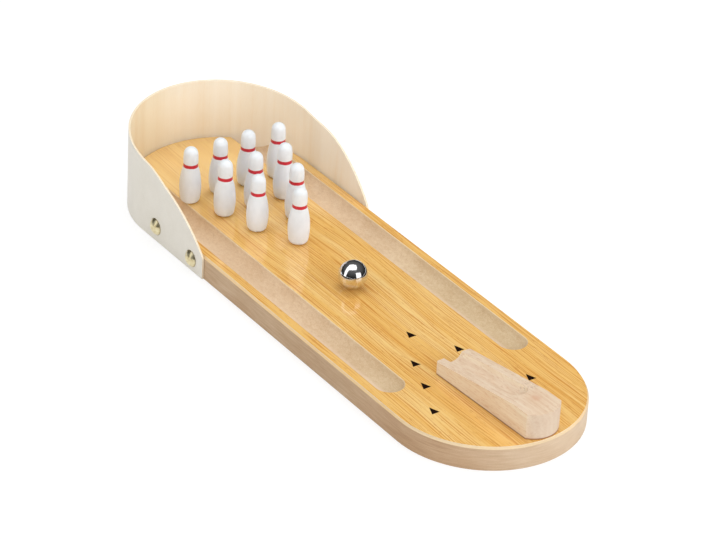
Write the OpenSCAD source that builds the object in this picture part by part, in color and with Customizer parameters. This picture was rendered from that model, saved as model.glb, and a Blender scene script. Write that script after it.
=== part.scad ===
// Tabletop bowling lane: a round-ended board with two gutters, a bent backstop
// nailed round its far end, ten turned pins, a steel ball and a grooved ramp.
// Millimetres. +Z is up, +Y runs down the lane to the pins, and the origin is
// on the table, in the middle of the whole game's footprint.

/* [Board] */
// Length of the lane board, over its round ends
board_len = 326.5; // [280:0.5:400]
// Width of the lane board, and the diameter of its round ends
board_w = 100; // [94:1:130]
// Thickness of the bare board under the film
board_t = 12.6; // [11:0.1:18]
// Eased edge along the top of the board
board_ease = 0.8; // [0.3:0.1:1.5]
// Thickness of the printed lane film
film_t = 0.4; // [0.2:0.1:0.8]

/* [Gutters] */
// Radius of the round-nosed gutter cut
gutter_r = 8; // [6.5:0.1:9]
// Depth of a gutter below the film
gutter_depth = 5; // [3:0.1:6]
// Width of the rail outside a gutter
rail_w = 5.8; // [4:0.1:8]
// From the front edge of the board to the round front end of a gutter
gutter_start = 69; // [50:0.1:110]
// How far the film is cut back from a gutter's edge
film_back = 0.3; // [0.1:0.1:0.6]

/* [Backstop] */
// Thickness of the bent sheet
wall_t = 1.1; // [0.8:0.1:2]
// Height of the sheet's top edge above the table, at the far end
wall_h = 47.3; // [42:0.1:54]
// Height of the sheet's bottom edge above the table
wall_lift = 0.2; // [0:0.1:1.5]
// How far the sheet's two ends come forward of the round end's centre
wall_reach = 57.6; // [50:0.1:70]
// Radius of the long sweep of the top edge, seen from the side
wall_top_r = 770; // [500:5:800]
// How far behind the sheet the long sweep would level out
wall_crown = 58; // [20:1:60]
// Radius of the sweep down to each end, seen from the side
wall_end_r = 77; // [40:0.5:90]
// How far forward of the round end's centre that sweep would stand upright
wall_drop = 74.5; // [72:0.1:76]
// Radius of the corner where the sweep meets the upright end
wall_corner_r = 4; // [2:0.1:6]
// Glue line between the board's edge and the sheet
wall_gap = 0.1; // [0.05:0.05:0.3]

/* [Nails] */
// Diameter of a domed nail head
nail_head_d = 9.3; // [7:0.1:11]
// Height of the dome
nail_head_h = 2.6; // [1.5:0.1:3.5]
// Diameter of a nail's shank
nail_shank_d = 1.6; // [1.2:0.1:2]
// Length of a nail's shank, through the sheet and into the board
nail_shank_len = 8.4; // [5.5:0.1:8.7]
// From a sheet end back to its front nail
nail_inset = 10.5; // [6:0.1:20]
// From the front nail back to the rear nail
nail_pitch = 33.6; // [20:0.1:36]
// Height of the front nails above the table
nail_front_z = 7; // [6:0.1:8]
// Height of the rear nails above the table
nail_rear_z = 8.5; // [6:0.1:9]
// Room round a shank in its hole
nail_clear = 0.1; // [0.05:0.01:0.15]

/* [Pins] */
// Height of a pin
pin_h = 31.7; // [30:0.1:40]
// Diameter of a pin's belly
pin_belly_d = 11.4; // [10:0.1:13]
// Height of the belly's widest place
pin_belly_z = 8.8; // [8:0.1:12]
// Radius of the belly's long curve
pin_belly_r = 40; // [30:0.5:44]
// Diameter of a pin's head
pin_head_d = 7.8; // [7.4:0.1:9]
// Radius of the head's long curve
pin_head_r = 30; // [24:0.5:36]
// Radius of the dome on top of the head
pin_dome_r = 3.7; // [3.4:0.05:3.7]
// Radius of the rounded edge at a pin's foot
pin_foot_r = 2.4; // [0.8:0.1:3]
// Distance between neighbouring pins in a row
pin_pitch = 17.5; // [15:0.1:19]
// Distance between rows
row_pitch = 20.8; // [17:0.1:22]
// From the board's far edge to the head pin
rack_depth = 118.8; // [112:0.1:126]

/* [Ball] */
// Diameter of the steel ball
ball_d = 15; // [12:0.1:16]
// From the board's front edge to the ball's middle
ball_y = 157; // [140:0.1:170]
// How far the ball lies to the right of the lane's middle
ball_x = -2.2; // [-15:0.1:15]
// Room under the ball
ball_gap = 0.1; // [0.05:0.05:0.2]

/* [Ramp] */
// Width of the ramp
ramp_w = 20.9; // [18:0.1:26]
// Length of the ramp
ramp_len = 72; // [60:0.5:80]
// Height of the ramp's lane end
ramp_low = 6.8; // [6.5:0.1:9]
// Height of the ramp's player end
ramp_high = 13.8; // [11:0.1:18]
// Length of the level top at the player end
ramp_top_len = 15.5; // [10:0.5:20]
// How far the ramp's player end bulges
ramp_nose = 5.1; // [2:0.1:8]
// Radius of the upright corners at the ramp's lane end
ramp_corner_r = 1.5; // [1:0.1:5]
// Radius of the ball groove
groove_r = 6; // [5.5:0.1:9]
// Depth of the ball groove
groove_depth = 3.7; // [2.5:0.1:5]
// From the ramp's player end to the middle of the groove's round end
groove_start = 25.3; // [22:0.1:32]
// From the board's front edge to the ramp's player end
ramp_y = 1.1; // [1:0.1:12]
// How far the ramp stands to the right of the lane's middle
ramp_x = -0.4; // [-6:0.1:6]
// How far the ramp is turned, in degrees
ramp_turn = 2.8; // [-5:0.1:5]

/* [Hidden] */
$fn = 96;
// Facets of the backstop's long sweeps
sweep_fn = 720;
// Overshoot of a cut past the face it opens
eps = 1;
// How far each next circle of the sheet's top edge stands proud, so that neighbours cross
sweep_lap = 0.02;

// Colours of the materials
board_colour = [0.76, 0.64, 0.50];
film_colour = [0.90, 0.72, 0.42];
wall_colour = [0.90, 0.84, 0.72];
brass_colour = [0.78, 0.66, 0.38];
pin_colour = [0.93, 0.92, 0.89];
steel_colour = [0.66, 0.68, 0.70];
ramp_colour = [0.89, 0.79, 0.66];

// Board: its middle, its edges along the lane and the centres of its round ends
end_r = board_w / 2;
board_y = -(wall_gap + wall_t) / 2;
front_y = board_y - board_len / 2;
rear_y = board_y + board_len / 2;
front_end_y = front_y + end_r;
rear_end_y = rear_y - end_r;
lane_z = board_t + film_t;

// Gutters: height of the cutter's axis, half the width at the film, centre lines
gutter_axis_z = lane_z - gutter_depth + gutter_r;
gutter_half_w = sqrt(pow(gutter_r, 2) - pow(gutter_r - gutter_depth, 2));
gutter_x = end_r - rail_w - gutter_half_w;
gutter_end_y = front_y + gutter_start + gutter_half_w;

// Backstop: inner and outer radius, and the three circles of its top edge with their joins
wall_in_r = end_r + wall_gap;
wall_out_r = wall_in_r + wall_t;
sweep_y = rear_end_y + wall_out_r + wall_crown;
sweep_z = wall_h - sqrt(pow(wall_top_r, 2) - pow(wall_crown, 2));
drop_y = rear_end_y - wall_drop + wall_end_r;
sweep_angle = asin((sweep_y - drop_y) / (wall_top_r - wall_end_r));
drop_z = sweep_z + (wall_top_r - wall_end_r) * cos(sweep_angle);
sweep_join_y = sweep_y - wall_top_r * sin(sweep_angle);
wall_front_y = rear_end_y - wall_reach;
corner_y = wall_front_y + wall_corner_r;
corner_z = drop_z + sqrt(pow(wall_end_r - wall_corner_r, 2) - pow(drop_y - corner_y, 2));
corner_join_y = drop_y - (drop_y - corner_y) * wall_end_r / (wall_end_r - wall_corner_r);

// Nails: [distance along the lane, height] on each side, and the dome's sphere
nail_front_y = wall_front_y + nail_inset;
nail_places = [[nail_front_y, nail_front_z], [nail_front_y + nail_pitch, nail_rear_z]];
nail_dome_r = (pow(nail_head_d / 2, 2) + pow(nail_head_h, 2)) / (2 * nail_head_h);

// Pin profile: circle centres as [radius from the axis, height], and the joins
belly_c = [pin_belly_d / 2 - pin_belly_r, pin_belly_z];
dome_c = [0, pin_h - pin_dome_r];
head_c_x = pin_head_d / 2 - pin_head_r;
head_c = [head_c_x, dome_c[1] - sqrt(pow(pin_head_r - pin_dome_r, 2) - pow(head_c_x, 2))];
head_join_z = head_c[1] + (dome_c[1] - head_c[1]) * pin_head_r / (pin_head_r - pin_dome_r);
foot_c_x = belly_c[0] + sqrt(pow(pin_belly_r - pin_foot_r, 2) - pow(pin_belly_z - pin_foot_r, 2));
foot_c = [foot_c_x, pin_foot_r];
foot_join_z = pin_belly_z - (pin_belly_z - pin_foot_r) * pin_belly_r / (pin_belly_r - pin_foot_r);
neck_gap = head_c - belly_c;
neck_span = norm(neck_gap);
neck_along = (pow(pin_belly_r, 2) - pow(pin_head_r, 2) + pow(neck_span, 2)) / (2 * neck_span);
neck_off = sqrt(pow(pin_belly_r, 2) - pow(neck_along, 2));
neck_z = belly_c[1] + (neck_along * neck_gap[1] - neck_off * neck_gap[0]) / neck_span;

// Rack: row and place in the row of each pin, and how far off each was set down
// by hand, across and along, as shares of the two pitches
head_pin_y = rear_y - rack_depth;
pin_row = [0, 1, 1, 2, 2, 2, 3, 3, 3, 3];
pin_place = [0, -0.5, 0.5, -1, 0, 1, -1.5, -0.5, 0.5, 1.5];
pin_nudge = [[-0.039, -0.005], [-0.173, 0.023], [0.167, 0.013], [-0.029, 0.037], [0, -0.004],
    [0.04, 0.01], [0.008, 0.007], [0.053, 0.021], [0.028, 0.016], [0.06, -0.04]];

// Ramp: the slope's length along the lane and its angle, the groove's start and
// length down the slope, and the radius of the player end's bulge
slope_len = ramp_len - ramp_top_len;
slope_angle = atan((ramp_high - ramp_low) / slope_len);
groove_from = (groove_start - ramp_top_len) / cos(slope_angle);
groove_len = slope_len / cos(slope_angle) - groove_from + groove_r;
nose_r = (pow(ramp_w / 2, 2) + pow(ramp_nose, 2)) / (2 * ramp_nose);

// A flat plate with the board's round-ended outline, eased along its top edge
module round_ended_plate(half_w, half_gap, thick, ease) {
    straight_t = thick - ease;
    for (side = [-1, 1]) translate([0, side * half_gap, 0]) {
        cylinder(r = half_w, h = straight_t);
        if (ease > 0) translate([0, 0, straight_t]) cylinder(r1 = half_w, r2 = half_w - ease, h = ease);
    }
    rotate([90, 0, 0]) linear_extrude(2 * half_gap, center = true) polygon([
        [-half_w, 0], [half_w, 0], [half_w, straight_t],
        [half_w - ease, thick], [ease - half_w, thick], [-half_w, straight_t]]);
}

// Round bar along +Z, with a half ball on its end at the origin
module round_nosed_bar(radius, length) {
    rotate_extrude() {
        square([radius, length]);
        intersection() {
            circle(r = radius);
            translate([0, -radius]) square([radius, radius]);
        }
    }
}

// Round-nosed cut along one gutter, from its front end out past the far edge
module gutter_cut(side, radius) {
    translate([side * gutter_x, gutter_end_y, gutter_axis_z])
        rotate([-90, 0, 0]) round_nosed_bar(radius, rear_y - gutter_end_y + eps);
}

// Puts a nail, or its hole, at each place, with +Z pointing out of the side
module at_nails() {
    for (side = [-1, 1], place = nail_places)
        translate([side * wall_out_r, place[0], place[1]]) rotate([0, side * 90, 0]) children();
}

module nail_holes() {
    hole_len = nail_shank_len + nail_clear;
    at_nails() translate([0, 0, -hole_len]) cylinder(d = nail_shank_d + 2 * nail_clear, h = hole_len + eps);
}

module base_board() {
    color(board_colour) difference() {
        translate([0, board_y, 0]) round_ended_plate(end_r, board_len / 2 - end_r, board_t, board_ease);
        gutter_cut(-1, gutter_r);
        gutter_cut(1, gutter_r);
        nail_holes();
    }
}

module lane_film() {
    color(film_colour) difference() {
        translate([0, board_y, board_t])
            round_ended_plate(end_r - board_ease, board_len / 2 - end_r, film_t, 0);
        gutter_cut(-1, gutter_r + film_back);
        gutter_cut(1, gutter_r + film_back);
    }
}

// Round-ended outline seen from above, at a given radius and reach forward
module sheet_outline(radius, reach) {
    translate([0, rear_end_y]) circle(r = radius);
    translate([-radius, rear_end_y - reach]) square([2 * radius, reach]);
}

// Side view of the sheet: a long sweep along the top that drops to upright ends
module sheet_side() {
    front = wall_front_y - eps;
    rear = rear_end_y + wall_out_r + eps;
    corner_top = corner_z + 2 * sweep_lap;
    intersection() {
        translate([sweep_y, sweep_z]) circle(r = wall_top_r, $fn = sweep_fn);
        translate([front, wall_lift]) square([rear - front, wall_h]);
        union() {
            translate([drop_y, drop_z + sweep_lap]) circle(r = wall_end_r, $fn = sweep_fn);
            translate([sweep_join_y, 0]) square([rear - sweep_join_y, wall_h + eps]);
        }
        union() {
            translate([wall_front_y, 0]) square([rear - wall_front_y, corner_top]);
            translate([corner_y, corner_top]) circle(r = wall_corner_r);
            translate([corner_join_y, 0]) square([rear - corner_join_y, wall_h + eps]);
        }
    }
}

module backstop() {
    color(wall_colour) difference() {
        intersection() {
            linear_extrude(wall_h + eps) difference() {
                sheet_outline(wall_out_r, wall_reach + eps);
                sheet_outline(wall_in_r, wall_reach + 2 * eps);
            }
            rotate([90, 0, 90]) linear_extrude(2 * wall_out_r + eps, center = true) sheet_side();
        }
        nail_holes();
    }
}

module backstop_nails() {
    color(brass_colour) at_nails() {
        intersection() {
            translate([0, 0, nail_head_h - nail_dome_r]) sphere(r = nail_dome_r);
            cylinder(d = nail_head_d + eps, h = nail_head_h + eps);
        }
        translate([0, 0, -nail_shank_len]) cylinder(d = nail_shank_d, h = nail_shank_len);
    }
}

// Half section of a pin: rounded foot, long belly, barrelled head and dome
module pin_section() {
    square([foot_c[0], pin_foot_r]);
    intersection() {
        translate(foot_c) circle(r = pin_foot_r);
        translate([foot_c[0], 0]) square([pin_foot_r, foot_join_z]);
    }
    intersection() {
        translate(belly_c) circle(r = pin_belly_r);
        translate([0, foot_join_z]) square([pin_belly_d, neck_z + eps - foot_join_z]);
    }
    intersection() {
        translate(head_c) circle(r = pin_head_r);
        translate([0, neck_z - eps]) square([pin_head_d, head_join_z + eps - neck_z]);
    }
    intersection() {
        translate(dome_c) circle(r = pin_dome_r);
        translate([0, head_join_z]) square([pin_dome_r, pin_h - head_join_z]);
    }
}

module pin(number) {
    across = pin_place[number - 1] + pin_nudge[number - 1][0];
    along = pin_row[number - 1] + pin_nudge[number - 1][1];
    color(pin_colour) translate([across * pin_pitch, head_pin_y + along * row_pitch, lane_z])
        rotate_extrude() pin_section();
}

module ball() {
    color(steel_colour) translate([ball_x, front_y + ball_y, lane_z + ball_gap + ball_d / 2])
        sphere(d = ball_d);
}

// Ramp seen from above: a bulging player end, and rounded corners at the lane end
module ramp_outline() {
    half_w = ramp_w / 2;
    half_len = ramp_len / 2;
    intersection() {
        translate([0, nose_r - half_len]) circle(r = nose_r);
        translate([-half_w, -half_len]) square([ramp_w, ramp_nose + eps]);
    }
    translate([-half_w, ramp_nose - half_len]) square([ramp_w, ramp_len - ramp_nose - ramp_corner_r]);
    translate([ramp_corner_r - half_w, 0]) square([ramp_w - 2 * ramp_corner_r, half_len]);
    for (x = [-1, 1]) translate([x * (half_w - ramp_corner_r), half_len - ramp_corner_r])
        circle(r = ramp_corner_r);
}

// Ramp seen from the side: level at the player end, then sloping to the lane end
module ramp_side() {
    polygon([[-ramp_len / 2, 0], [ramp_len / 2, 0], [ramp_len / 2, ramp_low],
        [ramp_top_len - ramp_len / 2, ramp_high], [-ramp_len / 2, ramp_high]]);
}

module ramp() {
    color(ramp_colour) translate([ramp_x, front_y + ramp_y + ramp_len / 2, lane_z])
        rotate([0, 0, ramp_turn]) difference() {
            intersection() {
                linear_extrude(ramp_high) ramp_outline();
                rotate([90, 0, 90]) linear_extrude(ramp_w + eps, center = true) ramp_side();
            }
            translate([0, ramp_top_len - ramp_len / 2, ramp_high])
                rotate([-90 - slope_angle, 0, 0])
                    translate([0, groove_depth - groove_r, groove_from])
                        round_nosed_bar(groove_r, groove_len);
        }
}

base_board();
lane_film();
backstop();
backstop_nails();
ball();
ramp();
for (number = [1:10]) pin(number);
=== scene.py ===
"""Looks for the tabletop bowling lane: materials, printed arrows, backstop, ramp, studio and camera."""
import math

import bmesh
import bpy
from mathutils import Matrix, Vector


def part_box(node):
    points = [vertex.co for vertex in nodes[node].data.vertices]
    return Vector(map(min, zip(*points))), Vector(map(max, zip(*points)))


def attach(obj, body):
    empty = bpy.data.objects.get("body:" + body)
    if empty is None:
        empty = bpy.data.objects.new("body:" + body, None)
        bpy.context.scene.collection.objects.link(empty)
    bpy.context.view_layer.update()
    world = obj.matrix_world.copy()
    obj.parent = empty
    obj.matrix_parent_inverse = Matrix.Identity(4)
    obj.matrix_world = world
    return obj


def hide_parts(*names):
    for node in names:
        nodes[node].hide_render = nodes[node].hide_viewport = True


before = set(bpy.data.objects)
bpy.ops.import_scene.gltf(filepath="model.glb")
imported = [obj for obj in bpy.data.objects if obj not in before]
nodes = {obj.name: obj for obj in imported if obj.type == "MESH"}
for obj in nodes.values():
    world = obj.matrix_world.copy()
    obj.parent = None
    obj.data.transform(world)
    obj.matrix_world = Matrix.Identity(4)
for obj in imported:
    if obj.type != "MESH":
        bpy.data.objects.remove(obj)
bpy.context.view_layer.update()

MM = 0.001
SHARP_ANGLE = math.radians(30)

# Places taken from the solids, in metres
board_lo, board_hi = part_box("base_board")
HALF_W = (board_hi.x - board_lo.x) / 2
REAR_END_Y = board_hi.y - HALF_W
FRONT_END_Y = board_lo.y + HALF_W
LANE_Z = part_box("lane_film")[1].z
WALL_OUT_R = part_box("backstop")[1].x
RAMP_FOOT_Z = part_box("ramp")[0].z

# The camera as fitted to the photograph
IMAGE_W = 716
FOCAL_PX = 3298.19
SENSOR_MM = 36
CAM_AZIMUTH = math.radians(-36.546)
CAM_ELEVATION = math.radians(31.254)
CAM_ROLL = math.radians(3.258)
CAM_DISTANCE = 1.68129
CAM_TARGET = Vector((0.02249, 0.0221, 0))
CAM_NEAR = 0.05
CAM_FAR = 50
HALF_PIXEL = 0.5 * CAM_DISTANCE / FOCAL_PX


def camera_axes():
    """The camera's right, up and back directions."""
    sa, ca = math.sin(CAM_AZIMUTH), math.cos(CAM_AZIMUTH)
    se, ce = math.sin(CAM_ELEVATION), math.cos(CAM_ELEVATION)
    sr, cr = math.sin(CAM_ROLL), math.cos(CAM_ROLL)
    back = Vector((sa * ce, -ca * ce, se))
    right = Vector((ca, sa, 0))
    up = Vector((-sa * se, ca * se, ce))
    return right * cr + up * sr, up * cr - right * sr, back


def add_camera():
    """The photograph's camera, with pixel centres where the photograph has them."""
    right, up, back = camera_axes()
    data = bpy.data.cameras.new("camera")
    data.sensor_width = SENSOR_MM
    data.lens = FOCAL_PX / IMAGE_W * SENSOR_MM
    data.clip_start = CAM_NEAR
    data.clip_end = CAM_FAR
    camera = bpy.data.objects.new("camera", data)
    bpy.context.scene.collection.objects.link(camera)
    turn = Matrix((right, up, back)).transposed().to_4x4()
    place = CAM_TARGET + back * CAM_DISTANCE + (up - right) * HALF_PIXEL
    camera.matrix_world = Matrix.Translation(place) @ turn
    bpy.context.scene.camera = camera


def rgb(red, green, blue):
    """A colour written as it looks on screen, turned to the linear values that shaders use."""
    def linear(value):
        share = value / 255
        return share / 12.92 if share <= 0.04045 else ((share + 0.055) / 1.055) ** 2.4
    return (linear(red), linear(green), linear(blue), 1)


class Look:
    """A node material, with short calls for the nodes that it needs."""

    def __init__(self, name, metallic=0.0, roughness=0.5):
        self.mat = bpy.data.materials.new(name)
        self.mat.use_nodes = True
        self.tree = self.mat.node_tree
        self.bsdf = self.tree.nodes["Principled BSDF"]
        self.bsdf.inputs["Metallic"].default_value = metallic
        self.bsdf.inputs["Roughness"].default_value = roughness
        self.place = self.node("ShaderNodeTexCoord", {}, "Object")
        self.normal = self.node("ShaderNodeNewGeometry", {}, "Normal")

    def put(self, socket, value):
        if isinstance(value, bpy.types.NodeSocket):
            self.tree.links.new(value, socket)
        else:
            socket.default_value = value

    def node(self, kind, inputs, output=0, **props):
        made = self.tree.nodes.new(kind)
        for key, value in props.items():
            setattr(made, key, value)
        for key, value in inputs.items():
            self.put(made.inputs[key], value)
        return made.outputs[output]

    def shade(self, name, value):
        self.put(self.bsdf.inputs[name], value)

    def surface(self, shader):
        """Takes this shader in place of the usual one."""
        self.put(self.tree.nodes["Material Output"].inputs["Surface"], shader)
        self.tree.nodes.remove(self.bsdf)

    def math(self, operation, a, b=0.0):
        return self.node("ShaderNodeMath", {0: a, 1: b}, operation=operation)

    def plus(self, a, b):
        return self.math("ADD", a, b)

    def minus(self, a, b):
        return self.math("SUBTRACT", a, b)

    def times(self, a, b):
        return self.math("MULTIPLY", a, b)

    def size(self, a):
        return self.math("ABSOLUTE", a)

    def wave(self, value, pitch):
        """A wave from -1 to 1 that comes round once in every pitch."""
        return self.math("SINE", self.times(value, 2 * math.pi / pitch))

    def weigh(self, *parts):
        """The sum of some values, each with its weight."""
        terms = [self.times(value, weight) for value, weight in parts]
        total = terms[0]
        for term in terms[1:]:
            total = self.plus(total, term)
        return total

    def split(self, vector):
        made = self.tree.nodes.new("ShaderNodeSeparateXYZ")
        self.put(made.inputs[0], vector)
        return made.outputs

    def join(self, x, y, z):
        return self.node("ShaderNodeCombineXYZ", {0: x, 1: y, 2: z})

    def length(self, vector):
        return self.node("ShaderNodeVectorMath", {0: vector}, "Value", operation="LENGTH")

    def away(self, point):
        """How far the place in the object is from a point."""
        return self.node("ShaderNodeVectorMath", {0: self.place, 1: point}, "Value", operation="DISTANCE")

    def scaled(self, x_mm, y_mm, z_mm, vector=None):
        """The place in the object, counted in cells of this many millimetres along each axis."""
        cells = (1 / (x_mm * MM), 1 / (y_mm * MM), 1 / (z_mm * MM))
        vector = self.place if vector is None else vector
        return self.node("ShaderNodeVectorMath", {0: vector, 1: cells}, operation="MULTIPLY")

    def noise(self, vector, detail=2.0, roughness=0.5, distortion=0.0):
        return self.node("ShaderNodeTexNoise", {"Vector": vector, "Scale": 1.0, "Detail": detail,
                                                "Roughness": roughness, "Distortion": distortion})

    def span(self, value, low, high, to_low=0.0, to_high=1.0):
        """A smooth step from to_low to to_high while value goes from low to high."""
        return self.node("ShaderNodeMapRange", {"Value": value, "From Min": low, "From Max": high,
                                                "To Min": to_low, "To Max": to_high},
                         interpolation_type="SMOOTHSTEP")

    def mix(self, share, a, b, blend="MIX"):
        made = self.tree.nodes.new("ShaderNodeMix")
        made.data_type = "RGBA"
        made.blend_type = blend
        colours = [socket for socket in made.inputs if socket.type == "RGBA"]
        self.put(made.inputs[0], share)
        self.put(colours[0], a)
        self.put(colours[1], b)
        return next(socket for socket in made.outputs if socket.type == "RGBA")

    def lay(self, under, over, mask, most=1.0):
        """Lays a colour over another one where the mask is, at most this strongly."""
        return self.mix(self.times(mask, most), under, over)

    def tone(self, colour, by, mask=1.0):
        """Multiplies a colour by another one where the mask is."""
        return self.mix(mask, colour, by, "MULTIPLY")

    def ramp(self, value, stops):
        made = self.tree.nodes.new("ShaderNodeValToRGB")
        self.put(made.inputs[0], value)
        line = made.color_ramp.elements
        while len(line) < len(stops):
            line.new(1.0)
        for element, (at, colour) in zip(line, stops):
            element.position = at
            element.color = colour
        return made.outputs[0]

    def bump(self, height, depth_mm, strength=1.0):
        self.shade("Normal", self.node("ShaderNodeBump", {"Strength": strength, "Distance": depth_mm * MM,
                                                          "Height": height}))


def end_radius(look, end_y, sign):
    """How far a point is from the board's middle line, or from a round end's centre past it."""
    x, y = look.split(look.place)[:2]
    past = look.math("MAXIMUM", look.times(look.minus(y, end_y), sign), 0.0)
    return look.length(look.join(x, past, 0.0))


# Eased edge of the board: how far it reaches below the lane and in from the side, each with a soft start
EDGE_DROP = 1.35 * MM
EDGE_DROP_FULL = 1.1 * MM
EDGE_IN = 0.9 * MM
EDGE_IN_FULL = 0.75 * MM
# The gutters darken towards the player, from this much further up the lane for each metre to the right
DARKEN_SLANT = 0.8


def mdf():
    """Bare fibreboard: flecked routed gutters, streaked sawn sides and a pale eased edge.

    The sides carry painted light that makes them paler to the right, and painted shade at the front left. The
    gutters are darker towards the player, with painted light on their left wall, where it faces the right.
    """
    look = Look("mdf", roughness=0.8)
    x, y, height = look.split(look.place)
    facing = look.split(look.normal)
    fine = look.noise(look.scaled(0.45, 0.45, 0.45), 3, 0.6)
    flake = look.noise(look.scaled(1.6, 2.6, 1.2), 2, 0.55, 0.6)
    cloud = look.noise(look.scaled(17, 26, 12), 2)
    streak = look.noise(look.scaled(11, 11, 0.55), 3, 0.55)

    routed = look.ramp(look.weigh((fine, 0.6), (flake, 0.4)),
                       [(0.30, rgb(206, 174, 138)), (0.50, rgb(224, 196, 162)), (0.70, rgb(236, 214, 184))])
    # The gutters' colour darkens towards the player.
    darker_to_player = look.span(look.minus(y, look.times(x, DARKEN_SLANT)), 40 * MM, -90 * MM)
    routed = look.tone(routed, rgb(241, 244, 236), darker_to_player)
    # Painted light: gutter walls that face the right are paler, more so towards the player.
    painted_light_left_wall = look.times(look.span(facing[0], 0.0, 0.4), look.span(y, 50 * MM, -70 * MM, 0.1, 0.6))
    routed = look.lay(routed, rgb(238, 214, 190), painted_light_left_wall)

    sawn = look.ramp(look.weigh((fine, 0.35), (streak, 0.65)),
                     [(0.30, rgb(179, 147, 114)), (0.50, rgb(196, 166, 133)), (0.70, rgb(210, 185, 155))])
    # Painted light: the sawn sides are paler towards the right, where the light falls.
    painted_light_right = look.times(look.span(x, -75 * MM, 46 * MM), look.span(y, -20 * MM, -110 * MM, 0.5, 1.0))
    sawn = look.lay(sawn, rgb(232, 214, 190), painted_light_right, 0.6)
    # Painted shade: the sawn sides are darker at the front left, away from the light.
    painted_shade_front_left = look.times(look.span(x, -15 * MM, -45 * MM), look.span(y, -60 * MM, -110 * MM))
    sawn = look.tone(sawn, rgb(248, 240, 232), painted_shade_front_left)

    side = look.span(look.size(facing[2]), 0.25, 0.6, 1.0, 0.0)
    colour = look.mix(side, routed, sawn)
    colour = look.tone(colour, look.ramp(cloud, [(0.35, rgb(245, 240, 234)), (0.65, rgb(255, 255, 255))]))

    rim = look.math("MAXIMUM", end_radius(look, REAR_END_Y, 1.0), end_radius(look, FRONT_END_Y, -1.0))
    eased = look.times(look.span(height, LANE_Z - EDGE_DROP, LANE_Z - EDGE_DROP_FULL),
                       look.span(rim, HALF_W - EDGE_IN, HALF_W - EDGE_IN_FULL))
    sanded = look.times(look.span(y, -105 * MM, -125 * MM), look.span(x, 35 * MM, 5 * MM))
    pale = look.mix(sanded, rgb(237, 201, 145), rgb(239, 215, 176))
    pale = look.mix(look.span(x, 20 * MM, 44 * MM), pale, rgb(214, 184, 132))
    look.shade("Base Color", look.lay(colour, pale, eased, 0.65))
    look.shade("Roughness", look.span(fine, 0.3, 0.7, 0.72, 0.9))
    look.bump(look.plus(fine, look.times(streak, side)), 0.05, 0.5)
    return look.mat


# Printed oak: how far the grain sways, the pitch of its fine lines and how far each line wanders
GRAIN_SWAY = 7 * MM
GRAIN_PITCH = 1.35 * MM
GRAIN_WANDER = 3.4 * MM
FILM_IOR = 1.65


def lane_print():
    """Film printed as golden oak: soft bands, fine grain lines and short pores, with painted light that makes
    the far end paler against the backstop's shade.
    """
    look = Look("lane_print", roughness=0.1)
    look.shade("IOR", FILM_IOR)
    x, y, z = look.split(look.place)
    drift = look.noise(look.scaled(34, 90, 40), 1)
    swayed = look.plus(x, look.times(look.minus(drift, 0.5), GRAIN_SWAY))
    along = look.join(swayed, y, z)
    band = look.noise(look.scaled(8, 110, 50, along), 2, 0.5)
    tint = look.noise(look.scaled(1.6, 70, 50, along), 2, 0.5)
    wander = look.noise(look.scaled(2.6, 80, 50, along), 1, 0.5)
    fade = look.noise(look.scaled(3, 34, 50, along), 1, 0.5)
    hair = look.noise(look.scaled(0.5, 34, 50, along), 1, 0.5)
    pore = look.noise(look.scaled(0.38, 5, 50, along), 1, 0.5)
    oak = look.ramp(look.weigh((band, 0.65), (tint, 0.35)),
                    [(0.34, rgb(236, 182, 96)), (0.50, rgb(241, 194, 113)), (0.66, rgb(246, 207, 134))])
    lines = look.wave(look.plus(swayed, look.times(wander, GRAIN_WANDER)), GRAIN_PITCH)
    vein = look.times(look.span(lines, 0.1, 1.0), look.span(fade, 0.3, 0.54))
    oak = look.lay(oak, rgb(204, 128, 48), vein, 0.68)
    thread = look.times(look.span(hair, 0.56, 0.66), look.span(band, 0.38, 0.64, 1.0, 0.6))
    oak = look.lay(oak, rgb(208, 132, 50), thread, 0.45)
    dash = look.span(pore, 0.64, 0.72)
    oak = look.lay(oak, rgb(188, 112, 40), dash, 0.45)
    # Painted light: the film is paler towards the far end, where the backstop shades it.
    oak = look.lay(oak, rgb(252, 223, 160), look.span(y, 50 * MM, 140 * MM), 0.45)
    top = look.span(look.split(look.normal)[2], 0.4, 0.8)
    look.shade("Base Color", look.mix(top, rgb(246, 226, 190), oak))
    look.shade("Roughness", look.span(tint, 0.3, 0.7, 0.08, 0.13))
    look.bump(look.minus(look.times(hair, 0.4), dash), 0.01, 0.25)
    return look.mat


# The sheet's own value for how deep a point lies, from 0 inside to 1 outside
PLY = "ply"


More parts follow.
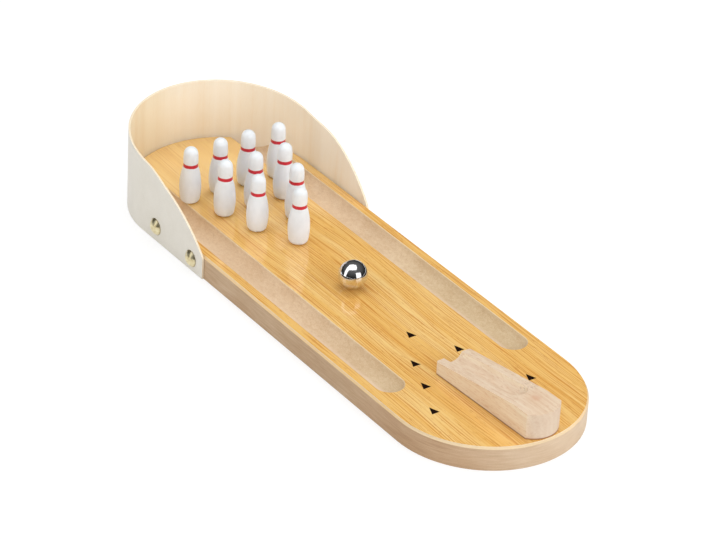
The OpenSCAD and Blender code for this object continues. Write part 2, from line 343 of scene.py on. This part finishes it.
def bent_ply():
    """Bent sheet: maple inside with soft upright bands, off-white outside, thin plies along the cut edge."""
    look = Look("bent_ply", roughness=0.5)
    depth = look.node("ShaderNodeAttribute", {}, "Fac", attribute_name=PLY)
    wide = look.noise(look.scaled(13, 13, 260), 2, 0.5)
    band = look.noise(look.scaled(3.4, 3.4, 150), 3, 0.55)
    fleck = look.noise(look.scaled(0.7, 0.7, 5), 2, 0.5)
    mottle = look.noise(look.scaled(9, 9, 12), 3, 0.55)
    grit = look.noise(look.scaled(0.5, 0.5, 0.5), 2)
    maple = look.ramp(look.weigh((wide, 0.5), (band, 0.35), (fleck, 0.15)),
                      [(0.34, rgb(245, 231, 207)), (0.48, rgb(249, 239, 220)), (0.62, rgb(252, 244, 228))])
    # Painted shade: the maple inside is darker towards the left, where the sheet shades itself.
    warm = look.span(look.split(look.place)[0], 12 * MM, -24 * MM)
    maple = look.tone(maple, rgb(246, 240, 226), warm)
    white = look.ramp(look.weigh((mottle, 0.7), (grit, 0.3)),
                      [(0.32, rgb(222, 216, 203)), (0.68, rgb(231, 226, 215))])
    core = look.times(look.span(depth, 0.33, 0.38), look.span(depth, 0.67, 0.62))
    edge = look.mix(core, rgb(252, 241, 219), rgb(242, 224, 193))
    edge = look.mix(look.span(fleck, 0.35, 0.65, 0.35, 0.0), edge, rgb(228, 203, 164))
    outside = look.span(depth, 0.9, 0.97)
    inside = look.span(depth, 0.1, 0.03)
    look.shade("Base Color", look.mix(outside, look.mix(inside, edge, maple), white))
    look.shade("Roughness", look.span(mottle, 0.3, 0.7, 0.42, 0.55))
    look.bump(look.plus(look.times(band, inside), look.times(grit, 0.3)), 0.02, 0.4)
    return look.mat


# How far out from the sheet a nail's head is dull
NAIL_DULL = 0.7 * MM


def brass():
    """Plated nail heads: fine turning marks, small stains, duller where the dome meets the sheet."""
    look = Look("brass", metallic=1.0, roughness=0.34)
    stain = look.noise(look.scaled(1.8, 1.8, 1.8), 3, 0.6)
    scuff = look.noise(look.scaled(0.25, 0.25, 2.5), 2, 0.5)
    rim = look.span(look.size(look.split(look.place)[0]), WALL_OUT_R + NAIL_DULL, WALL_OUT_R)
    plate = look.ramp(stain, [(0.32, rgb(206, 190, 148)), (0.55, rgb(228, 216, 176)),
                              (0.75, rgb(238, 229, 196))])
    look.shade("Base Color", look.lay(plate, rgb(122, 98, 58), rim, 0.7))
    look.shade("Roughness", look.plus(look.span(stain, 0.3, 0.7, 0.27, 0.4), look.times(rim, 0.2)))
    look.bump(scuff, 0.01, 0.25)
    return look.mat


def steel():
    """Polished bearing steel with faint hairlines and a few duller patches."""
    look = Look("steel", metallic=1.0, roughness=0.1)
    smear = look.noise(look.scaled(4, 4, 4), 3, 0.6, 0.8)
    hair = look.noise(look.scaled(0.12, 2.4, 0.12), 2, 0.5)
    look.shade("Base Color", look.ramp(smear, [(0.3, rgb(226, 226, 228)), (0.7, rgb(240, 240, 241))]))
    look.shade("Roughness", look.span(smear, 0.35, 0.75, 0.07, 0.14))
    look.bump(hair, 0.003, 0.12)
    return look.mat


# Beech: how far its growth rings sway and their pitch, and the painted light that makes the block's flanks
# paler
RING_SWAY = 6 * MM
RING_PITCH = 3.1 * MM
FLANK_PAINTED_LIGHT = (1.13, 1.2, 1.21, 1)


def beech(pith, knot, specks):
    """Sanded beech as solid wood: growth rings round a far pith, ray flecks and a painted contact shadow as a
    brown line at the foot.

    A small knot has a warm halo round it, and a few specks lie beside it.
    """
    look = Look("beech", roughness=0.6)
    place = look.split(look.place)
    facing = look.split(look.normal)
    sway = look.noise(look.scaled(14, 60, 14), 2, 0.5)
    grain = look.noise(look.scaled(0.9, 24, 0.9), 3, 0.6)
    fleck = look.noise(look.scaled(0.6, 3.6, 0.6), 1, 0.5)
    grit = look.noise(look.scaled(0.8, 1.1, 0.8), 1, 0.5)
    from_pith = look.length(look.join(look.minus(place[0], pith[0]), 0.0, look.minus(place[2], pith[1])))
    rings = look.wave(look.plus(from_pith, look.times(sway, RING_SWAY)), RING_PITCH)
    wood = look.ramp(look.weigh((rings, 0.045), (grain, 0.6), (sway, 0.4)),
                     [(0.32, rgb(217, 186, 154)), (0.50, rgb(227, 202, 174)), (0.68, rgb(234, 215, 190))])
    dash = look.span(fleck, 0.57, 0.68)
    wood = look.lay(wood, rgb(204, 160, 122), dash, 0.42)
    from_knot = look.away(knot)
    halo = look.span(look.plus(from_knot, look.times(grain, 5 * MM)), 13 * MM, 5 * MM)
    wood = look.lay(wood, rgb(216, 176, 138), halo, 0.3)
    spot = look.span(look.plus(from_knot, look.times(fleck, 1.6 * MM)), 4.4 * MM, 1.4 * MM)
    wood = look.lay(wood, rgb(212, 160, 126), spot, 0.5)
    speck = look.times(look.span(look.away(specks), 6.5 * MM, 3 * MM), look.span(grit, 0.54, 0.64))
    wood = look.lay(wood, rgb(176, 148, 128), speck, 0.5)
    cut = look.span(look.size(facing[1]), 0.5, 0.9)
    wood = look.lay(wood, rgb(206, 185, 164), cut, 0.55)
    # Painted light: the block's flanks, which face the sides, are paler.
    painted_light_flank = look.span(look.size(facing[0]), 0.6, 0.9)
    wood = look.tone(wood, FLANK_PAINTED_LIGHT, painted_light_flank)
    # Painted shadow: a brown line along the foot, where the block meets the lane.
    foot = look.span(place[2], 0.9 * MM, 0.4 * MM)
    look.shade("Base Color", look.lay(wood, rgb(146, 90, 46), foot, 0.85))
    look.shade("Roughness", look.span(grain, 0.3, 0.7, 0.52, 0.7))
    look.bump(look.minus(look.times(grain, 0.5), dash), 0.03, 0.4)
    return look.mat


# Red band on a pin, above the lane, with its soft edge and how far that wavers, and the painted light that
# makes the belly cooler and paler
BAND_LOW = 20.7 * MM
BAND_HIGH = 22.7 * MM
BAND_SOFT = 0.12 * MM
BAND_WAVER = 0.35 * MM
BELLY_PAINTED_LIGHT = (1.01, 1.03, 1.08, 1)


def pin_paint():
    """White satin paint on turned wood: a red neck band, painted light that makes the belly cooler, and light
    wear at the foot.
    """
    look = Look("pin_paint", roughness=0.38)
    height = look.minus(look.split(look.place)[2], LANE_Z)
    waver = look.noise(look.scaled(2.2, 2.2, 2.2), 2, 0.5)
    cloud = look.noise(look.scaled(3.5, 3.5, 6), 3, 0.55)
    turned = look.noise(look.scaled(5, 5, 0.35), 2, 0.5)
    level = look.plus(height, look.times(look.minus(waver, 0.5), BAND_WAVER))
    band = look.times(look.span(level, BAND_LOW, BAND_LOW + BAND_SOFT),
                      look.span(level, BAND_HIGH, BAND_HIGH - BAND_SOFT))
    white = look.ramp(cloud, [(0.3, rgb(230, 234, 237)), (0.7, rgb(238, 242, 245))])
    # Painted light: the belly is cooler and paler, against the warm light that the film throws on it.
    white = look.tone(white, BELLY_PAINTED_LIGHT, look.span(height, 24 * MM, 8 * MM))
    scuff = look.times(look.span(height, 1.4 * MM, 0.2 * MM), look.span(cloud, 0.45, 0.65))
    white = look.lay(white, rgb(214, 200, 180), scuff, 0.5)
    red = look.ramp(cloud, [(0.3, rgb(196, 28, 48)), (0.7, rgb(214, 42, 62))])
    look.shade("Base Color", look.mix(band, white, red))
    look.shade("Roughness", look.span(cloud, 0.3, 0.7, 0.32, 0.44))
    look.bump(look.plus(turned, look.times(band, 0.6)), 0.02, 0.25)
    return look.mat


def arrow_ink():
    """Dark printing ink, a little uneven where the film's grain shows through."""
    look = Look("arrow_ink", roughness=0.55)
    look.shade("Specular IOR Level", 0.05)
    wear = look.noise(look.scaled(0.5, 4, 1), 2, 0.55)
    look.shade("Base Color", look.ramp(wear, [(0.3, rgb(26, 12, 7)), (0.65, rgb(34, 17, 9)),
                                              (0.85, rgb(56, 30, 14))]))
    look.shade("Roughness", look.span(wear, 0.3, 0.7, 0.48, 0.6))
    look.bump(wear, 0.008, 0.3)
    return look.mat


def cover(mesh, material):
    """Gives a mesh one material all over."""
    mesh.materials.clear()
    mesh.materials.append(material)


def dress(node, material):
    """Gives a solid its material."""
    cover(nodes[node].data, material)


def new_piece(name, bm, material):
    """Puts a finished bmesh into the scene as a piece of this name."""
    mesh = bpy.data.meshes.new(name)
    bm.to_mesh(mesh)
    bm.free()
    cover(mesh, material)
    piece = bpy.data.objects.new(name, mesh)
    bpy.context.scene.collection.objects.link(piece)
    return piece


def bridge(bm, rings):
    """Faces between each closed ring of points and the next."""
    for near, far in zip(rings, rings[1:]):
        for i in range(len(near)):
            j = (i + 1) % len(near)
            bm.faces.new((near[i], near[j], far[j], far[i]))


def close(bm, ring, tip):
    """Faces from a closed ring of points to a tip."""
    for i in range(len(ring)):
        bm.faces.new((ring[i], ring[(i + 1) % len(ring)], tip))


def prism(bm, outline, bottom, top):
    """An upright block on an outline, in millimetres."""
    low, high = [[bm.verts.new((x * MM, y * MM, z * MM)) for x, y in outline] for z in (bottom, top)]
    bm.faces.new(low[::-1])
    bm.faces.new(high)
    bridge(bm, [low, high])


# Printed arrows: the middle of each, in millimetres, and the size of one
ARROW_PLACES = [(-2.8, -57.5), (10.0, -79.6), (-16.1, -79.6), (15.4, -99.4), (-23.3, -98.0), (24.7, -117.7),
                (-32.4, -117.5)]
ARROW_W = 4.4
ARROW_LEN = 5.5
ARROW_T = 0.02


def lane_arrows(material):
    """Seven thin printed triangles that point down the lane to the pins."""
    bm = bmesh.new()
    corners = [(-ARROW_W / 2, -ARROW_LEN / 3), (ARROW_W / 2, -ARROW_LEN / 3), (0, ARROW_LEN * 2 / 3)]
    for x, y in ARROW_PLACES:
        prism(bm, [(x + dx, y + dy) for dx, dy in corners], LANE_Z / MM - ARROW_T, LANE_Z / MM + ARROW_T)
    return new_piece("lane_arrows", bm, material)


# Backstop sheet, in millimetres, as in the solids, and the outward lean that its two legs spring to
SHEET_T = 1.1
WALL_H = 47.3
WALL_LIFT = 0.2
WALL_REACH = 57.6
WALL_TOP_R = 770
WALL_CROWN = 58
WALL_END_R = 77
WALL_DROP = 74.5
WALL_CORNER_R = 4
LEG_LEAN = 0.057
LEAN_FROM_Z = 12
LEAN_SOFT = 3
LEAN_NONE = -4
LEAN_FULL = -26
SHEET_EASE = 0.14
SHEET_ROWS = 14
LEG_STEP = 1.5
LEG_CORNER_STEPS = 6
BEND_STEPS = 96

# Arcs along the sheet's top edge: centres of the sweep, the drop and the end corner, and where each ends
SWEEP_Y = WALL_OUT_R / MM + WALL_CROWN
SWEEP_Z = WALL_H - math.sqrt(WALL_TOP_R ** 2 - WALL_CROWN ** 2)
DROP_Y = WALL_END_R - WALL_DROP
DROP_ANGLE = math.asin((SWEEP_Y - DROP_Y) / (WALL_TOP_R - WALL_END_R))
DROP_Z = SWEEP_Z + (WALL_TOP_R - WALL_END_R) * math.cos(DROP_ANGLE)
DROP_END = SWEEP_Y - WALL_TOP_R * math.sin(DROP_ANGLE)
CORNER_Y = WALL_CORNER_R - WALL_REACH
CORNER_Z = DROP_Z + math.sqrt((WALL_END_R - WALL_CORNER_R) ** 2 - (DROP_Y - CORNER_Y) ** 2)
CORNER_END = DROP_Y - (DROP_Y - CORNER_Y) * WALL_END_R / (WALL_END_R - WALL_CORNER_R)


def sheet_top(along):
    """Height of the sheet's top edge this far past the round end's centre."""
    if along < CORNER_END:
        return CORNER_Z + math.sqrt(max(WALL_CORNER_R ** 2 - (along - CORNER_Y) ** 2, 0))
    if along < DROP_END:
        return DROP_Z + math.sqrt(WALL_END_R ** 2 - (along - DROP_Y) ** 2)
    return SWEEP_Z + math.sqrt(WALL_TOP_R ** 2 - (along - SWEEP_Y) ** 2)


def sheet_path():
    """Stations round the sheet: the foot of the radius, and the direction that it points in."""
    swing = math.acos(1 - (CORNER_END + WALL_REACH) / WALL_CORNER_R)
    leg = []
    for i in range(LEG_CORNER_STEPS):
        leg.append(WALL_CORNER_R * (1 - math.cos(swing * i / LEG_CORNER_STEPS)) - WALL_REACH)
    steps = math.ceil(-CORNER_END / LEG_STEP)
    leg += [CORNER_END * (1 - i / steps) for i in range(steps)]
    bend = [math.pi * (1 - i / BEND_STEPS) for i in range(BEND_STEPS + 1)]
    return ([(along, -1, 0) for along in leg] + [(0, math.cos(turn), math.sin(turn)) for turn in bend]
            + [(along, 1, 0) for along in reversed(leg)])


def sheet_section(foot, out_x, out_y):
    """One station's outline from the inner foot over the top to the outer foot, with each point's depth."""
    outer = WALL_OUT_R / MM
    inner = outer - SHEET_T
    share = min(max((LEAN_NONE - foot) / (LEAN_NONE - LEAN_FULL), 0), 1)
    lean = LEG_LEAN * share * share * (3 - 2 * share)
    top_in, top_out = [sheet_top(foot + out_y * radius) for radius in (inner, outer)]
    rows = [i / SHEET_ROWS for i in range(SHEET_ROWS + 1)]
    flat = [(inner, WALL_LIFT + (top_in - SHEET_EASE - WALL_LIFT) * row, 0.0) for row in rows]
    flat.append((inner + SHEET_EASE, top_in, SHEET_EASE))
    flat.append((outer - SHEET_EASE, top_out, SHEET_T - SHEET_EASE))
    flat += [(outer, WALL_LIFT + (top_out - SHEET_EASE - WALL_LIFT) * row, SHEET_T) for row in reversed(rows)]
    points = []
    for radius, z, depth in flat:
        above = z - LEAN_FROM_Z
        reach = radius + lean * (above + math.hypot(above, LEAN_SOFT)) / 2
        place = (out_x * reach * MM, REAR_END_Y + (foot + out_y * reach) * MM, z * MM)
        points.append((place, depth / SHEET_T))
    return points


def backstop_sheet(material):
    """The bent sheet with eased edges, its legs sprung a little outward above the nails."""
    bm = bmesh.new()
    layer = bm.verts.layers.float.new(PLY)
    rings = []
    for station in sheet_path():
        ring = []
        for place, depth in sheet_section(*station):
            vert = bm.verts.new(place)
            vert[layer] = depth
            ring.append(vert)
        rings.append(ring)
    bridge(bm, rings)
    for ring in (rings[0], rings[-1]):
        count = len(ring)
        for i in range(count // 2 - 1):
            bm.faces.new((ring[i], ring[i + 1], ring[count - 2 - i], ring[count - 1 - i]))
    bmesh.ops.recalc_face_normals(bm, faces=bm.faces)
    piece = new_piece("backstop_sheet", bm, material)
    piece.data.shade_smooth()
    piece.data.set_sharp_from_angle(angle=SHARP_ANGLE)
    return piece


# Ramp block, in millimetres, as in the solids
RAMP_W = 20.9
RAMP_LEN = 72
RAMP_LOW = 6.8
RAMP_HIGH = 13.8
RAMP_TOP_LEN = 15.5
RAMP_NOSE = 5.1
RAMP_CORNER_R = 1.5
RAMP_SLOPE = math.atan2(RAMP_HIGH - RAMP_LOW, RAMP_LEN - RAMP_TOP_LEN)
RAMP_MIDDLE = (-0.4, -126.75)
RAMP_TURN = math.radians(2.8)
RAMP_EASE = 0.5
RAMP_EASE_STEPS = 3
RAMP_FACE_WEIGHT = 80
RAMP_LIFT = 0.04
GROOVE_R = 6
GROOVE_DEPTH = 3.7
GROOVE_START = 25.3
GROOVE_SIDES = 72
BALL_STEPS = 12
NOSE_STEPS = 24
CORNER_STEPS = 8

# Middle of the line where the level top meets the slope
RAMP_BREAK = Vector((0, (RAMP_TOP_LEN - RAMP_LEN / 2) * MM, RAMP_HIGH * MM))

# Pith of the ramp's tree, and the knot and the specks on its top, in metres, in the block's own frame
RAMP_PITH = (-95 * MM, -20 * MM)
RAMP_KNOT = (2 * MM, -22.6 * MM, RAMP_HIGH * MM)
RAMP_SPECKS = (6.9 * MM, -10.3 * MM, RAMP_HIGH * MM)


def baked(piece):
    """Puts the result of a piece's modifiers into its mesh."""
    graph = bpy.context.evaluated_depsgraph_get()
    mesh = bpy.data.meshes.new_from_object(piece.evaluated_get(graph))
    mesh.name = piece.data.name
    piece.modifiers.clear()
    piece.data = mesh


def ramp_outline():
    """The block seen from above: a bulging player end, and rounded corners at the lane end."""
    half_w, half_len = RAMP_W / 2, RAMP_LEN / 2
    nose_r = (half_w ** 2 + RAMP_NOSE ** 2) / (2 * RAMP_NOSE)
    swing = math.asin(half_w / nose_r)
    points = []
    for i in range(NOSE_STEPS + 1):
        turn = swing * (2 * i / NOSE_STEPS - 1)
        points.append((nose_r * math.sin(turn), nose_r * (1 - math.cos(turn)) - half_len))
    for side, first in ((1, 0), (-1, 90)):
        for i in range(CORNER_STEPS + 1):
            turn = math.radians(first + 90 * i / CORNER_STEPS)
            points.append((side * (half_w - RAMP_CORNER_R) + RAMP_CORNER_R * math.cos(turn),
                           half_len - RAMP_CORNER_R + RAMP_CORNER_R * math.sin(turn)))
    return points


def ramp_body():
    """The plain block: level at the player's end, then sloping to the lane end."""
    bm = bmesh.new()
    prism(bm, ramp_outline(), RAMP_LIFT, RAMP_HIGH)
    bmesh.ops.bisect_plane(bm, geom=bm.verts[:] + bm.edges[:] + bm.faces[:], plane_co=RAMP_BREAK,
                           plane_no=(0, math.sin(RAMP_SLOPE), math.cos(RAMP_SLOPE)), clear_outer=True)
    bmesh.ops.holes_fill(bm, edges=[edge for edge in bm.edges if edge.is_boundary], sides=0)
    bmesh.ops.recalc_face_normals(bm, faces=bm.faces)
    return bm


def groove_cutter():
    """A round bar with a half ball on its end, laid along the slope and sunk to the groove's depth."""
    start = (GROOVE_START - RAMP_TOP_LEN) / math.cos(RAMP_SLOPE)
    length = (RAMP_LEN - RAMP_TOP_LEN) / math.cos(RAMP_SLOPE) - start + GROOVE_R
    profile = []
    for i in range(1, BALL_STEPS + 1):
        turn = math.radians(90 * i / BALL_STEPS)
        profile.append((GROOVE_R * math.sin(turn), -GROOVE_R * math.cos(turn)))
    profile.append((GROOVE_R, length))
    turns = [2 * math.pi * k / GROOVE_SIDES for k in range(GROOVE_SIDES)]
    bm = bmesh.new()
    rings = []
    for radius, along in profile:
        ring = [(radius * math.cos(turn) * MM, radius * math.sin(turn) * MM, along * MM) for turn in turns]
        rings.append([bm.verts.new(place) for place in ring])
    bridge(bm, rings)
    close(bm, rings[0], bm.verts.new((0, 0, -GROOVE_R * MM)))
    bm.faces.new(rings[-1])
    bmesh.ops.recalc_face_normals(bm, faces=bm.faces)
    lie = Matrix.Rotation(math.radians(-90) - RAMP_SLOPE, 4, "X")
    sunk = Matrix.Translation((0, (GROOVE_DEPTH - GROOVE_R) * MM, start * MM))
    bm.transform(Matrix.Translation(RAMP_BREAK) @ lie @ sunk)
    return bm


def ramp_block(material):
    """The ramp with its groove cut and every edge sanded soft."""
    piece = new_piece("ramp_block", ramp_body(), material)
    cutter = new_piece("groove_cutter", groove_cutter(), material)
    cut = piece.modifiers.new("groove", "BOOLEAN")
    cut.object = cutter
    cut.operation = "DIFFERENCE"
    cut.solver = "EXACT"
    ease = piece.modifiers.new("ease", "BEVEL")
    ease.width = RAMP_EASE * MM
    ease.segments = RAMP_EASE_STEPS
    ease.limit_method = "ANGLE"
    ease.angle_limit = SHARP_ANGLE
    baked(piece)
    spare = cutter.data
    bpy.data.objects.remove(cutter)
    bpy.data.meshes.remove(spare)
    cover(piece.data, material)
    piece.data.shade_smooth()
    weigh = piece.modifiers.new("weigh", "WEIGHTED_NORMAL")
    weigh.keep_sharp = True
    weigh.weight = RAMP_FACE_WEIGHT
    baked(piece)
    middle = Matrix.Translation((RAMP_MIDDLE[0] * MM, RAMP_MIDDLE[1] * MM, RAMP_FOOT_Z))
    piece.matrix_world = middle @ Matrix.Rotation(RAMP_TURN, 4, "Z")
    return piece


# Studio light: the world's level, and the softboxes
AMBIENT = 0.62
# Name, azimuth in degrees, height, distance and the box's width and height in metres, and watts
LAMPS = [
    ("overhead", 128, 1.3, 0.4, 1.0, 1.0, 5.9),
    ("front", 24, 0.5, 1.4, 1.1, 0.9, 7.2),
    ("fill", -15, 0.65, 1.4, 1.1, 0.9, 3.6),
    ("left", -101, 0.66, 1.4, 0.7, 1.2, 3.7),
]
LAMP_AIM = Vector((0, 0, 0.02))

# Floor: its size and drop in metres, its colour as light on the object, and its shade and glow as it shows
FLOOR_SIZE = 12
FLOOR_DROP = 0.1 * MM
FLOOR_COLOUR = (0.85, 0.85, 0.85, 1)
FLOOR_SHADE = (0.3, 0.3, 0.3, 1)
FLOOR_GLOW = 0.76

# Dark studio that only gloss and metal see: a dome in metres, and a low skirt round the board in millimetres
FLAG_R = 2.4
FLAG_LOW = 0.3
FLAG_ROWS = 12
FLAG_SIDES = 48
FLAG_DARK = 0.02
FLAG_PALE = 0.13
SKIRT_GAP = 14
SKIRT_H = 21
SKIRT_BACK = 45
SKIRT_SIDES = 32

# Bright softbox faces that only gloss and metal see, as corners of azimuth and elevation
FACE_R = 1.6
FACE_LEVEL = 1.5
FACES = [
    [(-172, 59), (105, 65), (58, 67), (12, 59), (-51, 62), (-92, 52), (-151, 56)],
    [(-91, -6), (-90, 22), (-93, 52), (-151, 56), (-121, 36), (-108, 6), (-108, -6)],
    [(-9, -6), (-11, 40), (33, 29), (27, -6)],
]


def background_rays(tree):
    """One for rays that show the white background: those from the camera, off gloss and through glass."""
    path = tree.nodes.new("ShaderNodeLightPath")
    shown = path.outputs["Is Camera Ray"]
    for ray in ("Is Glossy Ray", "Is Transmission Ray"):
        either = tree.nodes.new("ShaderNodeMath")
        either.operation = "MAXIMUM"
        tree.links.new(shown, either.inputs[0])
        tree.links.new(path.outputs[ray], either.inputs[1])
        shown = either.outputs[0]
    return shown


def add_world():
    """A world that shows white and lights the object at the ambient level."""
    world = bpy.data.worlds.new("studio")
    bpy.context.scene.world = world
    world.use_nodes = True
    tree = world.node_tree
    level = tree.nodes.new("ShaderNodeMapRange")
    level.inputs["To Min"].default_value = AMBIENT
    level.inputs["To Max"].default_value = 1.0
    tree.links.new(background_rays(tree), level.inputs["Value"])
    tree.links.new(level.outputs[0], tree.nodes["Background"].inputs["Strength"])
    tree.nodes["Background"].inputs["Color"].default_value = (1, 1, 1, 1)


def add_floor():
    """A white floor that stays white to the camera and still takes the object's shadow."""
    half = FLOOR_SIZE / 2
    corners = [(-half, -half, 0), (half, -half, 0), (half, half, 0), (-half, half, 0)]
    bm = bmesh.new()
    bm.faces.new([bm.verts.new(corner) for corner in corners])
    look = Look("floor")
    plain = look.node("ShaderNodeBsdfDiffuse", {"Color": FLOOR_COLOUR})
    dim = look.node("ShaderNodeBsdfDiffuse", {"Color": FLOOR_SHADE})
    glow = look.node("ShaderNodeEmission", {"Strength": FLOOR_GLOW})
    lit = look.node("ShaderNodeAddShader", {0: dim, 1: glow})
    look.surface(look.node("ShaderNodeMixShader", {0: background_rays(look.tree), 1: plain, 2: lit}))
    floor = new_piece("floor", bm, look.mat)
    floor.location.z = -FLOOR_DROP


def toward(azimuth, elevation, distance):
    """A point seen from the table's middle at this azimuth and elevation, in degrees."""
    turn, rise = math.radians(azimuth), math.radians(elevation)
    flat = math.cos(rise)
    return Vector((math.sin(turn) * flat, -math.cos(turn) * flat, math.sin(rise))) * distance


def only_gloss(name, bm, level, level_on_high=None):
    """A glowing stage piece that only reflections see, at one level or from one to another up the dome."""
    look = Look(name)
    if level_on_high is not None:
        level = look.span(look.split(look.place)[2], 0.0, FLAG_R, level, level_on_high)
    look.surface(look.node("ShaderNodeEmission", {"Strength": level}))
    piece = new_piece(name, bm, look.mat)
    piece.visible_camera = False
    piece.visible_diffuse = False
    piece.visible_transmission = False
    piece.visible_volume_scatter = False
    piece.visible_shadow = False


def add_flags():
    """A dark dome, darker towards the table, and a low dark skirt round the player's end of the board."""
    bm = bmesh.new()
    rings = []
    for i in range(FLAG_ROWS):
        rise = FLAG_LOW + (90 - FLAG_LOW) * i / FLAG_ROWS
        rings.append([bm.verts.new(toward(360 * k / FLAG_SIDES, rise, FLAG_R)) for k in range(FLAG_SIDES)])
    bridge(bm, rings)
    close(bm, rings[-1], bm.verts.new((0, 0, FLAG_R)))
    only_gloss("flags", bm, FLAG_DARK, FLAG_PALE)

    bm = bmesh.new()
    radius = HALF_W + SKIRT_GAP * MM
    line = [(-radius, SKIRT_BACK * MM)]
    for i in range(SKIRT_SIDES + 1):
        turn = math.pi * (1 + i / SKIRT_SIDES)
        line.append((radius * math.cos(turn), FRONT_END_Y + radius * math.sin(turn)))
    line.append((radius, SKIRT_BACK * MM))
    low, high = [[bm.verts.new((x, y, z)) for x, y in line] for z in (0, SKIRT_H * MM)]
    for i in range(len(line) - 1):
        bm.faces.new((low[i], low[i + 1], high[i + 1], high[i]))
    only_gloss("skirt", bm, FLAG_DARK)


def add_faces():
    """The softboxes as polished metal shows them."""
    for number, corners in enumerate(FACES, 1):
        bm = bmesh.new()
        bm.faces.new([bm.verts.new(toward(azimuth, rise, FACE_R)) for azimuth, rise in corners])
        only_gloss("softbox_%d" % number, bm, FACE_LEVEL)


def add_lamps():
    """The softboxes as light on the object, unseen by gloss."""
    for name, azimuth, height, distance, width, tall, power in LAMPS:
        data = bpy.data.lights.new(name, "AREA")
        data.shape = "RECTANGLE"
        data.size = width
        data.size_y = tall
        data.energy = power
        lamp = bpy.data.objects.new(name, data)
        bpy.context.scene.collection.objects.link(lamp)
        turn = math.radians(azimuth)
        lamp.location = (math.sin(turn) * distance, -math.cos(turn) * distance, height)
        lamp.rotation_euler = (lamp.location - LAMP_AIM).to_track_quat("Z", "Y").to_euler()
        lamp.visible_glossy = False


bpy.context.scene.view_settings.view_transform = "Standard"
add_camera()

dress("base_board", mdf())
dress("lane_film", lane_print())
ply = bent_ply()
dress("backstop", ply)
dress("backstop_nails", brass())
dress("ball", steel())
wood = beech(RAMP_PITH, RAMP_KNOT, RAMP_SPECKS)
dress("ramp", wood)
paint = pin_paint()
for number in range(1, 11):
    dress("pin_%d" % number, paint)

arrows = lane_arrows(arrow_ink())
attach(arrows, "lane")

sheet = backstop_sheet(ply)
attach(sheet, "lane")
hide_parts("backstop")

ramp = ramp_block(wood)
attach(ramp, "ramp")
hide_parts("ramp")

add_world()
add_floor()
add_flags()
add_faces()
add_lamps()
